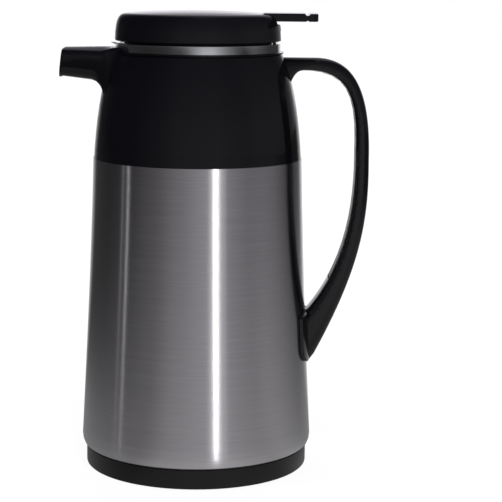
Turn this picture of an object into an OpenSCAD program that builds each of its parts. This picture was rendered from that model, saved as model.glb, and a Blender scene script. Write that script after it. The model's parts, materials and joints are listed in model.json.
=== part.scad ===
// Glass-lined vacuum carafe: steel body, moulded pouring shoulder, flip lid
// with a thumb lever that lifts the pouring valve, and a C handle.
// Millimetres. The z axis is the body's axis and z = 0 is the table.
// The spout points along -x, the handle along +x.

/* [Steel shell] */
// Diameter of the shell at its top edge
shell_top_d = 125; // [120:0.5:130]
// Widest diameter of the shell, near the table
shell_foot_d = 139.4; // [134:0.2:150]
// Height of the shell's top edge above the table
shell_top_z = 187; // [165:1:215]
// Height of the widest ring above the shell's bottom edge
shell_roll_h = 5.7; // [3:0.1:8]
// How far the bottom edge rolls in from the widest radius
shell_roll_in = 2.3; // [1:0.1:4]
// Thickness of the steel
shell_wall = 0.8; // [0.5:0.1:1.2]

/* [Base] */
// Height of the base ring that shows below the shell
base_h = 12.3; // [9:0.1:16]
// Wall of the base ring
base_wall = 2.6; // [1.6:0.1:4]
// Radius of the rounded edge that stands on the table
base_edge_r = 1; // [0.5:0.1:2]
// Diameter of the screw cap in the base
cap_d = 84; // [70:1:96]

/* [Shoulder and spout] */
// Height of the shoulder above the shell
shoulder_h = 62.4; // [56:0.2:72]
// Diameter of the shoulder at its top
neck_d = 100; // [97:0.5:104]
// Wall of the shoulder
shoulder_wall = 2.4; // [1.8:0.1:3]
// Height of the sunk line above the shell's edge
band_h = 5.3; // [3:0.1:9]
// Reach of the spout's top edge from the axis
spout_reach = 80; // [74:0.5:90]
// Width of the spout at its tip
spout_tip_w = 29; // [27:0.5:34]
// Height of the spout at its tip
spout_tip_h = 17.4; // [16:0.2:20]
// How far the spout's lower lip stands ahead of its top edge
spout_rake = 1.8; // [0:0.1:4]
// Width of the channel at the spout's tip
channel_w = 22; // [16:0.5:24]

/* [Neck] */
// Outer diameter of the bright ring
ring_d = 98; // [97:0.2:99]
// Height of the bright ring
ring_h = 5; // [3:0.1:6]
// Wall of the bright ring
ring_wall = 2.4; // [1.6:0.1:2.4]
// Inner diameter of the pouring chamber
chamber_d = 88.4; // [87.4:0.2:88.8]
// Wall of the pouring chamber
chamber_wall = 2; // [1.4:0.1:2]
// Diameter of the hole above the flask's mouth
port_d = 52; // [51:0.2:54]

/* [Lid] */
// Diameter of the lid's lower edge
lid_d = 99.2; // [98:0.2:102]
// Height of the lid from its lower edge to the middle of its top
lid_h = 17.6; // [16.8:0.1:20]
// Height of the open gap between the lid and the bright ring
lid_gap = 1.2; // [1.2:0.1:2.2]
// Wall of the lid's cover
lid_wall = 2.2; // [1.6:0.1:2.4]
// Diameter of the lid's plug that enters the pouring chamber
plug_d = 86; // [80:0.2:86.4]
// Depth of that plug
plug_h = 7; // [3:0.1:8]
// Outer diameter of the stopper cup
stopper_d = 49; // [46:0.2:49.4]
// Wall of the stopper cup
stopper_wall = 2.2; // [1.6:0.1:2.6]

/* [Lever and valve] */
// Width of the thumb lever
lever_w = 23.8; // [18:0.2:26]
// Reach of the lever's tip from the axis
lever_reach = 71; // [66:0.5:73]
// Thickness of the lever
lever_t = 4.8; // [4:0.1:5.2]
// Distance of the lever's pin from the axis
lever_pin_x = 36; // [34:0.5:36]
// Angle that the lever turns when it is pressed
lever_press = 7; // [4:0.5:7]
// Diameter of the valve's stem
stem_d = 4.4; // [3.6:0.1:5]
// Diameter of the valve's seal
valve_d = 30; // [28:0.5:38]
// Wire of the valve's spring
spring_wire = 0.9; // [0.6:0.1:1.2]
// Mean diameter of the valve's spring
spring_d = 14; // [13:0.5:18]

/* [Hinge] */
// Distance of the hinge pin from the axis
hinge_x = 45; // [44.8:0.1:45.4]
// Diameter of the hinge and lever pins
pin_d = 2.6; // [2:0.1:3]
// Width of the hinge's middle knuckle
knuckle_w = 12.6; // [8:0.2:13]

/* [Handle] */
// How far the handle stands out beyond the shell's widest radius
handle_reach = 33.2; // [28:0.2:42]
// Thickness of the grip
grip_t = 8.7; // [7:0.1:10]
// Width of the grip
grip_w = 20; // [18:0.5:24]
// Height of the handle's lowest point above the table
handle_foot_z = 63; // [50:1:75]
// Height of the handle's foot where it meets the shell
handle_foot_h = 31.3; // [28:0.1:38]
// Width of the plate that spreads the foot on the shell
saddle_w = 46; // [34:0.5:50]
// Thickness of that plate
saddle_t = 2; // [1.4:0.1:3]

/* [Glass flask] */
// Room between the shell's narrower end and the flask
flask_room = 5.4; // [5.2:0.1:8]
// Wall of the glass
glass_wall = 1.5; // [1.2:0.1:2]
// Gap between the two glass walls
vacuum_gap = 3; // [2:0.1:5]
// Inner diameter of the flask's mouth
mouth_d = 47.4; // [44:0.2:48]

/* [Clearances] */
// Gap between curved faces of fixed pieces
seat_gap = 0.15; // [0.1:0.05:0.3]
// Gap between a moving piece and what it passes
move_gap = 0.3; // [0.3:0.05:0.5]
// Radial clearance of a pin in a hole that turns on it
pin_gap = 0.05; // [0.02:0.01:0.1]

/* [Hidden] */
$fn = 96;
far = 300; // longer than the part, for cuts

shell_top_r = shell_top_d / 2;
shell_foot_r = shell_foot_d / 2;
shell_foot_z = base_h + shell_roll_h;
shell_edge_r = shell_foot_r - shell_roll_in;
shell_flare = 1.25; // how late the shell's side curves outwards
shell_lip_w = 3.4;
shell_rim_r = shell_top_r - 1.7; // inner edge of the shell's turned-in top

neck_r = neck_d / 2;
neck_z = shell_top_z + shoulder_h;
ledge = 0.4; // the shell stands this much proud of the shoulder
shoulder_foot_r = shell_top_r - ledge;
spigot_h = 8;
spigot_r = shell_rim_r - seat_gap;
spigot_wall = 1.6;
flange_t = 2.4;
rim_t = 0.9; // rim of the pouring chamber, which shows as a thin dark line
rim_r = neck_r + 0.9;
ring_r = ring_d / 2;
ring_z = neck_z + rim_t;
ring_top_z = ring_z + ring_h;
chamber_r = chamber_d / 2;
chamber_out_r = chamber_r + chamber_wall;
port_r = port_d / 2;
floor_z = neck_z - 15.1;
floor_t = 2.9;
floor_top_z = floor_z + floor_t;

lid_r = lid_d / 2;
lid_z = ring_top_z + lid_gap;
lid_top_z = lid_z + lid_h;
lid_edge_h = 16; // height at which the rounded edge runs into the top
lid_plate_z = lid_z + 0.5;
lid_plate_t = 2.2;
lid_plate_top = lid_plate_z + lid_plate_t;
slot_gap = 0.6;
slot_w = lever_w + 2 * slot_gap;
slot_x = lever_pin_x + 1.7;
plug_r = plug_d / 2;
stopper_r = stopper_d / 2;
stopper_z = floor_z - 0.8;
seal_r = 1.6; // radius of the stopper seal's round section

hinge_z = lid_z + 6.1;
pin_r = pin_d / 2;
knuckle_r = 2.5;
ear_gap = 0.5;
ear_in = knuckle_w / 2 + ear_gap;
ear_out = slot_w / 2 - 0.2;
apron_x = hinge_x + knuckle_r + move_gap; // inner face of the wall behind the hinge
apron_top = lid_z + 9.6;
apron_low = hinge_z + 0.1;

lever_z = lid_z + 12; // underside of the thumb bar
lever_pin_z = lid_z + 10;
hub_r = 3;
arm_z = lid_plate_top + 2;
arm_t = 3.4;
arm_w = 12;
arm_end_x = -2.5;
post_t = 3;
clip_r = 4.5;
clip_t = 1.8;
clip_rest_gap = 0.5;
clip_z = arm_z + arm_t + clip_rest_gap;
valve_lift = (lever_pin_x - arm_end_x) * sin(lever_press) - 0.4;
stem_r = stem_d / 2;
stem_plate_t = 1.5;
valve_seal_t = 2;
valve_z = stopper_z + stopper_wall + 0.1;
stem_z = valve_z + valve_seal_t;
guide_h = 6;

cap_r = cap_d / 2;
thread_gap = 0.3;
web_z = base_h - 4;
web_t = 2.2;
cap_plate_t = 3;

flask_r = min(shell_top_r, shell_foot_r) - flask_room;
flask_in_r = flask_r - glass_wall - vacuum_gap;
flask_floor_z = web_z + 9; // lowest point of the outer glass, above the cushion
flask_bend_z = flask_floor_z + 23;
flask_shoulder_z = shell_top_z - 15;
mouth_r = mouth_d / 2;
mouth_z = floor_z - 2.2;
lip_t = 3;
neck_glass_r = mouth_r + 2 * glass_wall + 2.1;

backplate_t = 2;
screw_r = 1.9;
screw_head_r = 3.4;
screw_head_t = 1.8;

black = [0.07, 0.07, 0.08];
satin_black = [0.13, 0.13, 0.14];
steel = [0.62, 0.61, 0.62];
bright = [0.85, 0.86, 0.88];
rubber = [0.82, 0.82, 0.8];
glass = [0.8, 0.86, 0.88, 0.5];

// Point at t on the cubic curve with the four control points p
function curve_at(p, t) =
  pow(1 - t, 3) * p[0] + 3 * pow(1 - t, 2) * t * p[1]
  + 3 * (1 - t) * t * t * p[2] + pow(t, 3) * p[3];
function curve(p, n) = [for (i = [0 : n]) curve_at(p, i / n)];
function shifted(points, d) = [for (p = points) p + d];
function reversed(list) = [for (i = [len(list) - 1 : -1 : 0]) list[i]];

// Outer radius of the steel shell at height z above its widest ring
function shell_r(z) =
  let (t = (shell_top_z - z) / (shell_top_z - shell_foot_z))
  shell_top_r + (shell_foot_r - shell_top_r) * pow(max(t, 0), shell_flare);

// The shell's outline from its bottom edge to its top edge
function shell_line(out = 0) = concat(
  [for (i = [0 : 3])
    let (a = 90 - i * 30)
    [shell_edge_r + out + shell_roll_in * cos(a), shell_foot_z - shell_roll_h * sin(a)]],
  [for (i = [1 : 6])
    let (z = shell_foot_z + (shell_top_z - shell_foot_z) * i / 6)
    [shell_r(z) + out, z]]
);

// The shoulder's outline from the shell's edge to the neck
shoulder_curve = [
  [shoulder_foot_r, shell_top_z],
  [shoulder_foot_r - 1.2, shell_top_z + shoulder_h * 0.35],
  [neck_r + 7, neck_z - shoulder_h * 0.2],
  [neck_r, neck_z]
];
function shoulder_line(out = 0) = shifted(curve(shoulder_curve, 9), [out, 0]);

// Closed solid between rings of points, each ring with the same count
module loft(rings) {
  n = len(rings[0]);
  m = len(rings);
  points = [for (ring = rings) for (p = ring) p];
  sides = [for (j = [0 : m - 2]) for (i = [0 : n - 1]) let (k = (i + 1) % n)
    each [
      [j * n + i, j * n + k, (j + 1) * n + k],
      [j * n + i, (j + 1) * n + k, (j + 1) * n + i]
    ]];
  caps = [reversed([for (i = [0 : n - 1]) i]), [for (i = [0 : n - 1]) (m - 1) * n + i]];
  polyhedron(points = points, faces = concat(caps, sides), convexity = 6);
}

// Outline with a half width, a floor, a roof and rounded corners, as [y, z]
function spout_ring(half_w, low, high, low_r, high_r, steps = 4) = concat(
  [for (i = [0 : steps]) let (a = -90 + 90 * i / steps)
    [half_w - low_r + low_r * cos(a), low + low_r + low_r * sin(a)]],
  [for (i = [0 : steps]) let (a = 90 * i / steps)
    [half_w - high_r + high_r * cos(a), high - high_r + high_r * sin(a)]],
  [for (i = [0 : steps]) let (a = 90 + 90 * i / steps)
    [-half_w + high_r + high_r * cos(a), high - high_r + high_r * sin(a)]],
  [for (i = [0 : steps]) let (a = 180 + 90 * i / steps)
    [-half_w + low_r + low_r * cos(a), low + low_r + low_r * sin(a)]]
);

// A wall of revolution between an outline and its own inner line
module turned(points) {
  rotate_extrude() polygon(points);
}

module ring_of(r_in, r_out, z, h) {
  translate([0, 0, z]) difference() {
    cylinder(r = r_out, h = h);
    translate([0, 0, -1]) cylinder(r = r_in, h = h + 2);
  }
}

// Rod along y at x and z
module cross_pin(x, z, r, w) {
  translate([x, w / 2, z]) rotate([90, 0, 0]) cylinder(r = r, h = w);
}

// Outline in x and z, extruded along y between two values
module side_plate(y0, y1) {
  translate([0, y1, 0]) rotate([90, 0, 0]) linear_extrude(y1 - y0) children();
}

module outer_shell() {
  line = shell_line();
  inner = [for (p = line) [p[0] - shell_wall, p[1]]];
  top = shell_top_z;
  color(steel) difference() {
    turned(concat(
      [[shell_edge_r - shell_lip_w, base_h]],
      line,
      [[shell_rim_r, top], [shell_rim_r, top - shell_wall],
       [shell_r(top - shell_wall) - shell_wall, top - shell_wall]],
      reversed([for (p = inner) if (p[1] > base_h + shell_wall && p[1] < top - 1) p]),
      [[shell_edge_r - shell_lip_w, base_h + shell_wall]]
    ));
    for (z = foot_screw_z) rod_x(0, z, screw_r + seat_gap, shell_foot_r - 20, far);
  }
}

// Rod along x at y and z, from x0 to x1
module rod_x(y, z, r, x0, x1) {
  translate([x0, y, z]) rotate([0, 90, 0]) cylinder(r = r, h = x1 - x0);
}

module base_ring() {
  out_r = shell_edge_r - 0.2;
  collar_r = cap_r + thread_gap;
  spigot_r = shell_edge_r - shell_lip_w - move_gap;
  top = base_h - seat_gap / 2;
  color(satin_black) turned(concat(
    [for (i = [0 : 3]) let (a = -90 + 30 * i)
      [out_r - base_edge_r + base_edge_r * cos(a), base_edge_r + base_edge_r * sin(a)]],
    [[out_r, top - 0.8], [out_r - 0.7, top], [spigot_r, top],
     [spigot_r, top + 8], [spigot_r - 2.6, top + 8], [spigot_r - 2.6, web_z + web_t],
     [collar_r, web_z + web_t], [collar_r, web_z - 5], [collar_r + 2.4, web_z - 5],
     [collar_r + 2.4, web_z], [out_r - base_wall, web_z], [out_r - base_wall, 0]]
  ));
}

module base_cap() {
  color(satin_black) {
    turned([
      [0, web_z - cap_plate_t], [cap_r - 3, web_z - cap_plate_t], [cap_r - 3, web_z - 5],
      [cap_r, web_z - 5], [cap_r, web_z], [0, web_z]
    ]);
    translate([-cap_r + 4, -2, web_z - 5]) cube([2 * cap_r - 8, 4, 2.5]);
  }
}

// Height of the outer glass's underside at radius r
function flask_under(r) =
  flask_bend_z - (flask_bend_z - flask_floor_z) * sqrt(1 - pow(r / flask_r, 2));

module bottom_cushion() {
  in_r = 12;
  out_r = 26;
  color(rubber) turned([
    [in_r, web_z + 0.1], [out_r, web_z + 0.1],
    [out_r, flask_under(out_r) - 0.2], [in_r, flask_under(in_r) - 0.2]
  ]);
}

// The outer line of a flask, from the middle of its floor to its neck
function flask_line(r, floor, bend, shoulder, neck, neck_foot) = concat(
  [for (i = [0 : 6]) let (a = 90 - 15 * i) [r * cos(a), bend - (bend - floor) * sin(a)]],
  curve([[r, shoulder], [r, shoulder + 28], [neck + 13, neck_foot - 5], [neck, neck_foot]], 7)
);

module glass_outer() {
  foot = floor_z - 14;
  lip_z = mouth_z - lip_t;
  line = flask_line(flask_r, flask_floor_z, flask_bend_z, flask_shoulder_z, neck_glass_r, foot);
  inner = flask_line(flask_r - glass_wall, flask_floor_z + glass_wall, flask_bend_z,
    flask_shoulder_z, neck_glass_r - glass_wall, foot - glass_wall * 0.7);
  color(glass) {
    turned(concat(line, [[neck_glass_r, lip_z], [neck_glass_r - glass_wall, lip_z]],
      reversed(inner)));
    translate([0, 0, flask_floor_z - 4]) cylinder(r1 = 1.6, r2 = 3.6, h = 5);
  }
}

module glass_inner() {
  foot = floor_z - 16;
  r = flask_in_r;
  floor_in = flask_floor_z + glass_wall + vacuum_gap + 1;
  neck = mouth_r + glass_wall;
  line = flask_line(r, floor_in, flask_bend_z + 2, flask_shoulder_z - 2, neck, foot);
  inner = flask_line(r - glass_wall, floor_in + glass_wall, flask_bend_z + 2,
    flask_shoulder_z - 2, mouth_r, foot - glass_wall * 0.7);
  color(glass) turned(concat(
    line,
    [[neck, mouth_z - lip_t], [neck_glass_r, mouth_z - lip_t], [neck_glass_r, mouth_z - 1],
     [neck_glass_r - 1, mouth_z], [mouth_r + 0.6, mouth_z], [mouth_r, mouth_z - 0.6]],
    reversed(inner)
  ));
}

module glass_spacers() {
  pad_r = 5;
  in_x = flask_in_r + 0.2;
  out_x = flask_r - glass_wall - 0.4;
  pad_z = flask_bend_z + 4 * pad_r;
  color(rubber) for (i = [0 : 2]) rotate([0, 0, 60 + 120 * i])
    rod_x(0, pad_z, pad_r, in_x, out_x);
}

module mouth_gasket() {
  in_r = mouth_r + 1;
  out_r = neck_glass_r + 0.5;
  color(rubber) difference() {
    ring_of(in_r, out_r, mouth_z + 0.05, floor_z - mouth_z - 0.1);
    ring_of(in_r + 1.2, out_r - 1.2, mouth_z, 0.5);
  }
}

// Rings of the spout's outside, from inside the shoulder to the lip.
// Its underside and its sides run into the shoulder with rounded fillets.
spout_top_z = neck_z + 2.7;
spout_low_z = spout_top_z - spout_tip_h;
spout_tip_x = spout_reach - 2.4;
under_fillet_x = neck_r + 11.5;
side_fillet_x = neck_r + 2.3;
// Drop of a fillet at x that starts at x0, w long and h high
function fillet(x, x0, w, h) = h * (1 - sqrt(1 - pow(min(max(x0 - x, 0) / w, 1), 2)));
function spout_share(x) = (spout_tip_x - x) / (spout_tip_x - neck_r);
function spout_low(x) =
  spout_low_z + 0.5 - 3.2 * spout_share(x) - fillet(x, under_fillet_x, 6.6, 10);
function spout_half(x) =
  spout_tip_w / 2 + 0.3 + 4.8 * spout_share(x) + fillet(x, side_fillet_x, 8, 4);
function spout_station(x, half_w, low, high) =
  let (rake = spout_rake * (1 - spout_share(min(x, spout_tip_x))))
  [for (p = spout_ring(half_w, low, high, 6.5, 3.2))
    [-x - rake * (high - p[1]) / spout_tip_h, p[0], p[1]]];
function spout_rings() = concat(
  [for (x = [-8, -5.6, -5, -4, -2.4, 0, 2.3, 4, 5, 5.8, 7, 9, 11.5, 18]) let (x = neck_r + x)
    spout_station(x, spout_half(x), spout_low(x), spout_top_z + 0.6 * spout_share(x))],
  [
    spout_station(spout_tip_x, spout_tip_w / 2 + 0.3, spout_low_z + 0.5, spout_top_z),
    spout_station(spout_reach - 1.2, spout_tip_w / 2 + 0.3, spout_low_z, spout_top_z),
    spout_station(spout_reach, spout_tip_w / 2 - 0.2, spout_low_z, spout_top_z - 0.5)
  ]
);

// The channel in the spout, larger by out, between two stations
channel_low = floor_top_z + 0.6;
duct_end = neck_r + 5;
function channel_station(x, half_w, low, high, out) =
  [for (p = spout_ring(half_w + out, low - out, high + out, 4 + out, 4 + out)) [-x, p[0], p[1]]];
module duct(x0, x1, out) {
  half = channel_w / 2 + 2;
  loft([for (x = [x0, x1]) channel_station(x, half, channel_low, neck_z - 1.8, out)]);
}
module spout_channel() {
  half = channel_w / 2;
  duct(chamber_r + 1, duct_end + 1, 0);
  loft([
    channel_station(duct_end, half + 0.8, channel_low + 0.8, neck_z - 2.4, 0),
    channel_station(spout_reach - 12, half + 0.3, channel_low + 0.6, neck_z - 0.6, 0),
    channel_station(spout_reach + 8, half, channel_low + 0.6, neck_z + 0.2, 0)
  ]);
}

// The shoulder's outside as a solid body, larger by out
module shoulder_form(out = 0) {
  turned(concat([[0, shell_top_z - 20], [shoulder_foot_r + out, shell_top_z - 20]],
    shoulder_line(out), [[0, neck_z]]));
}

// Places of the screws that hold the handle's upper arm
arm_screw_z = neck_z - 6.4;
arm_screw_y = 4.6;
arm_seat_x = neck_r - 0.9;
arm_screw_tip = neck_r + 16;

module shoulder() {
  inner = shifted(curve(shoulder_curve, 9), [-shoulder_wall, -shoulder_wall * 0.5]);
  color(black) difference() {
    union() {
      turned(concat(
        [[spigot_r - spigot_wall, shell_top_z - spigot_h], [spigot_r, shell_top_z - spigot_h],
         [spigot_r, shell_top_z]],
        shoulder_line(),
        [[chamber_out_r + seat_gap, neck_z], [chamber_out_r + seat_gap, neck_z - flange_t]],
        reversed([for (p = inner) if (p[1] > shell_top_z + 4 && p[1] < neck_z - flange_t) p]),
        [[spigot_r - spigot_wall, shell_top_z + 3]]
      ));
      difference() {
        loft(spout_rings());
        shoulder_form(-shoulder_wall / 2);
      }
      for (y = [-arm_screw_y, arm_screw_y])
        rod_x(y, arm_screw_z, screw_head_r + 0.8, arm_seat_x, arm_seat_x + 2);
    }
    spout_channel();
    translate([0, 0, neck_z]) cylinder(r = rim_r + seat_gap, h = rim_t + 0.1);
    translate([0, 0, neck_z + rim_t]) cylinder(r = ring_r + seat_gap, h = 10);
    sunk_line();
    for (y = [-arm_screw_y, arm_screw_y]) {
      rod_x(y, arm_screw_z, screw_r + seat_gap, arm_seat_x - 8, far);
      rod_x(y, arm_screw_z, screw_head_r + seat_gap, arm_seat_x - 8, arm_seat_x);
    }
  }
}

// Fine line turned into the foot of the shoulder
module sunk_line() {
  z = shell_top_z + band_h;
  r = shoulder_foot_r - 0.1;
  turned([[r - 0.45, z], [r + 2, z - 0.5], [r + 2, z + 0.5]]);
}

module pour_chamber() {
  seat_r = port_r + floor_t + 0.1;
  color(black) difference() {
    union() {
      turned([
        [port_r, floor_z], [chamber_out_r, floor_z], [chamber_out_r, neck_z], [rim_r, neck_z],
        [rim_r, ring_z], [chamber_out_r, ring_z], [chamber_out_r, ring_top_z - 0.4],
        [chamber_r, ring_top_z - 0.4], [chamber_r, floor_top_z], [seat_r, floor_top_z]
      ]);
      difference() {
        duct(chamber_r + 0.6, duct_end, -0.2);
        translate([0, 0, floor_z - 1]) cylinder(r = chamber_r + 0.3, h = 30);
      }
      side_plate(-knuckle_w / 2, knuckle_w / 2) hinge_post_outline();
    }
    duct(chamber_r - 6, duct_end + 1, -1.6);
    cross_pin(hinge_x, hinge_z, pin_r + pin_gap, knuckle_w + 2);
  }
}

// Side outline of the post that carries the hinge's middle knuckle
module hinge_post_outline() {
  in_x = chamber_r + 0.1;
  out_x = chamber_out_r - 0.05;
  translate([hinge_x, hinge_z]) circle(r = knuckle_r, $fn = 48);
  polygon([
    [in_x, neck_z], [out_x, neck_z], [out_x, lid_z + 0.6],
    [hinge_x + knuckle_r * cos(40), hinge_z - knuckle_r * sin(40)],
    [hinge_x - knuckle_r * cos(20), hinge_z - knuckle_r * sin(20)],
    [in_x, lid_z + 0.6]
  ]);
}

module neck_ring() {
  in_r = ring_r - ring_wall;
  edge_r = 1.2;
  lug_reach = 2.9;
  lug_half_w = 5;
  lug_in = edge_r + 0.4;
  color(bright) {
    turned(concat(
      [[in_r, ring_z], [ring_r - 0.2, ring_z], [ring_r, ring_z + 0.2]],
      [for (a = [0 : 22.5 : 90])
        [ring_r - edge_r + edge_r * cos(a), ring_top_z - edge_r + edge_r * sin(a)]],
      [[in_r, ring_top_z]]
    ));
    side_plate(-lug_half_w, lug_half_w) polygon([
      [-ring_r - lug_reach, ring_top_z], [-ring_r + lug_in, ring_top_z],
      [-ring_r + lug_in, ring_top_z - 2]
    ]);
  }
}

// Control points of the handle's outer and inner edges, as [x, z]
handle_x = shell_foot_r + handle_reach;
arm_top_z = neck_z - 2.3;
arm_t_in = grip_t - 1.1;
arm_x = neck_r + 20;
bend_z = handle_foot_z + (arm_top_z - handle_foot_z) * 0.67;
foot_top_z = handle_foot_z + handle_foot_h;
foot_low_r = shell_r(handle_foot_z);
foot_high_r = shell_r(foot_top_z);
outer_edges = [
  [[neck_r - 6, arm_top_z], [neck_r + 2, arm_top_z], [neck_r + 12, arm_top_z], [arm_x, arm_top_z]],
  [[arm_x, arm_top_z], [arm_x + 25, arm_top_z], [handle_x + 0.3, arm_top_z - 22],
   [handle_x, bend_z]],
  [[handle_x, bend_z], [handle_x + 0.6, bend_z - 36], [handle_x - 2.9, handle_foot_z + 59],
   [foot_low_r + 4.4, handle_foot_z + 4.4]],
  [[foot_low_r + 4.4, handle_foot_z + 4.4], [foot_low_r + 2, handle_foot_z + 1.2],
   [foot_low_r - 2, handle_foot_z - 4], [foot_low_r - 7, handle_foot_z - 9]]
];
inner_edges = [
  [[neck_r + 3, arm_top_z - 22], [neck_r + 5.8, arm_top_z - 13.1],
   [neck_r + 7.5, arm_top_z - arm_t_in - 0.2], [arm_x - 8, arm_top_z - arm_t_in]],
  [[arm_x - 8, arm_top_z - arm_t_in], [arm_x + 18, arm_top_z - arm_t_in + 0.8],
   [handle_x - grip_t + 0.8, arm_top_z - 21], [handle_x - grip_t, bend_z + 6]],
  [[handle_x - grip_t, bend_z + 6], [handle_x - grip_t + 0.6, bend_z - 26],
   [handle_x - grip_t - 3.2, foot_top_z + 30], [foot_high_r + 0.3, foot_top_z]],
  [[foot_high_r + 0.3, foot_top_z], [foot_high_r - 2, foot_top_z - 2.6],
   [foot_high_r - 5, foot_top_z - 6], [foot_high_r - 9, foot_top_z - 10]]
];
// Steps along each stretch: arm, bend, grip and foot
handle_steps = [4, 9, 13, 2];
function station(k, t) = [curve_at(inner_edges[k], t), curve_at(outer_edges[k], t), k + t];
handle_stations = [
  for (k = [0 : 3]) for (i = [0 : handle_steps[k] - 1]) station(k, i / handle_steps[k]),
  station(3, 1)
];
// The strip's stations lie between the handle's, so that no edges coincide
strip_stations = [
  for (k = [1 : 2]) for (i = [0 : handle_steps[k] - 1]) station(k, (i + 0.45) / handle_steps[k])
];
// Width of the handle at a station: slimmer at the arm, full at the grip
function handle_w(s) = grip_w - 2 * max(0, 1 - s) + 1.5 * max(0, s - 2.5);

// Rounded section of the handle, flatter on the side that faces the body
function handle_ring(station) =
  let (
    inner = station[0], outer = station[1], mid = (inner + outer) / 2,
    half = (outer - inner) / 2, half_w = handle_w(station[2]) / 2
  )
  [for (i = [0 : 23])
    let (
      a = 15 * i,
      u = sign(cos(a)) * pow(abs(cos(a)), cos(a) > 0 ? 0.62 : 0.42),
      v = sign(sin(a)) * pow(abs(sin(a)), 0.42)
    )
    [mid[0] + half[0] * u, half_w * v, mid[1] + half[1] * u]];

// Flat strip that follows the handle's inner face, from depth d0 to depth d1
function strip_ring(station, d0, d1, half_w) =
  let (inner = station[0], across = (station[1] - inner) / norm(station[1] - inner))
  [for (c = [[d0, -1], [d1, -1], [d1, 1], [d0, 1]])
    [inner[0] + across[0] * c[0], half_w * c[1], inner[1] + across[1] * c[0]]];
strip_from = 1.08;
strip_to = 2.78;
strip_w = grip_w - 8;
module inner_strip(d0, d1, width, extra) {
  first = 1;
  last = len(strip_stations) - 4;
  loft(concat(
    [strip_ring(station(1, strip_from - 1 - extra), d0, d1, width / 2)],
    [for (i = [first : last]) strip_ring(strip_stations[i], d0, d1, width / 2)],
    [strip_ring(station(2, strip_to - 2 + extra), d0, d1, width / 2)]
  ));
}

foot_screw_z = [handle_foot_z + 9, handle_foot_z + 23];

// Plate that spreads the handle's foot on the shell, round at its lower corners
module saddle() {
  low = handle_foot_z + 2.2;
  high = foot_top_z - 0.5;
  low_r = 9;
  high_r = 1.5;
  half = saddle_w / 2;
  side = concat(
    [for (a = [-90 : 15 : 0]) [half - low_r + low_r * cos(a), low + low_r + low_r * sin(a)]],
    [for (a = [0 : 30 : 90]) [half - high_r + high_r * cos(a), high - high_r + high_r * sin(a)]]
  );
  intersection() {
    shell_form(saddle_t);
    translate([shell_top_r - 12, 0, 0]) rotate([90, 0, 90]) linear_extrude(far)
      polygon(concat(side, reversed([for (p = side) [-p[0], p[1]]])));
  }
}

module shell_form(out) {
  turned(concat([[0, base_h]], shell_line(out), [[0, shell_top_z]]));
}

module handle() {
  color(black) difference() {
    union() {
      loft([for (s = handle_stations) handle_ring(s)]);
      saddle();
    }
    shell_form(seat_gap);
    shoulder_form(seat_gap);
    inner_strip(-2, 1.3, strip_w + 0.3, 0.004);
    for (z = foot_screw_z) rod_x(0, z, screw_r, shell_top_r, foot_screw_tip(z) + 0.5);
    for (y = [-arm_screw_y, arm_screw_y])
      rod_x(y, arm_screw_z, screw_r, arm_seat_x, arm_screw_tip + 0.5);
  }
}

module handle_cover() {
  color(satin_black) inner_strip(0.1, 1.15, strip_w, -0.004);
}

function backplate_x(z) = shell_r(z) - shell_wall - seat_gap - backplate_t;
function foot_screw_tip(z) = shell_r(z) + (z - handle_foot_z) * 0.3 + 2;

module handle_backplate() {
  color(steel) difference() {
    intersection() {
      shell_form(-shell_wall - seat_gap);
      translate([shell_top_r - 12, -9, handle_foot_z + 3]) cube([40, 18, 26]);
    }
    shell_form(-shell_wall - seat_gap - backplate_t);
    for (z = foot_screw_z) rod_x(0, z, screw_r + seat_gap, shell_top_r - 20, far);
  }
}

// Pan-head screw along +x with its head's seat at x
module screw_x(y, z, x, tip) {
  rod_x(y, z, screw_r, x - 0.2, tip);
  difference() {
    rod_x(y, z, screw_head_r, x - screw_head_t, x);
    rod_x(y, z, 1.4, x - screw_head_t - 1, x - screw_head_t + 0.9);
  }
}

module handle_screws() {
  color(bright) {
    for (z = foot_screw_z) screw_x(0, z, backplate_x(z) - 0.25, foot_screw_tip(z));
    for (y = [-arm_screw_y, arm_screw_y])
      screw_x(y, arm_screw_z, arm_seat_x - 0.05, arm_screw_tip);
  }
}

// Outline of the lid's outside from its lower edge to the middle of its top
lid_line = concat(
  [[lid_r - 0.5, lid_z], [lid_r, lid_z + 0.5]],
  curve([[lid_r - 0.3, lid_z + 5.5], [lid_r - 1, lid_z + 13.2],
    [lid_r - 2.6, lid_z + lid_edge_h - 0.4], [lid_r - 6.6, lid_z + lid_edge_h]], 6),
  [[lid_r * 0.62, lid_top_z - 0.75], [lid_r * 0.3, lid_top_z - 0.15], [0, lid_top_z]]
);

// Places of the screws that join the lid's two halves
lid_screw_r = plug_r - 7;
lid_screw_angles = [60, 180, 300];
lid_screw_d = 2.6;
lid_screw_top = lid_z + 10.5;

module lid_cover() {
  roof = lid_top_z - lid_wall;
  inner = [
    [lid_r - lid_wall - 0.1, lid_z], [lid_r - lid_wall - 0.4, lid_z + 9],
    [lid_r - lid_wall - 2, lid_z + 12.4], [lid_r - lid_wall - 6, lid_z + lid_edge_h - lid_wall],
    [lid_r * 0.6, roof - 0.7], [lid_r * 0.3, roof - 0.15], [0, roof]
  ];
  color(black) difference() {
    union() {
      turned(concat(lid_line, reversed(inner)));
      intersection() {
        turned(concat([[0, lid_z]], lid_line));
        for (a = lid_screw_angles) rotate([0, 0, a]) translate([lid_screw_r, 0, lid_plate_top + 0.1])
          cylinder(r = 3.5, h = lid_h);
      }
    }
    for (a = lid_screw_angles) rotate([0, 0, a]) translate([lid_screw_r, 0, lid_z])
      cylinder(d = lid_screw_d, h = lid_screw_top + 0.5 - lid_z);
    translate([slot_x, -slot_w / 2, lid_z - 1]) cube([far, slot_w, lid_h + 5]);
  }
}

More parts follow.
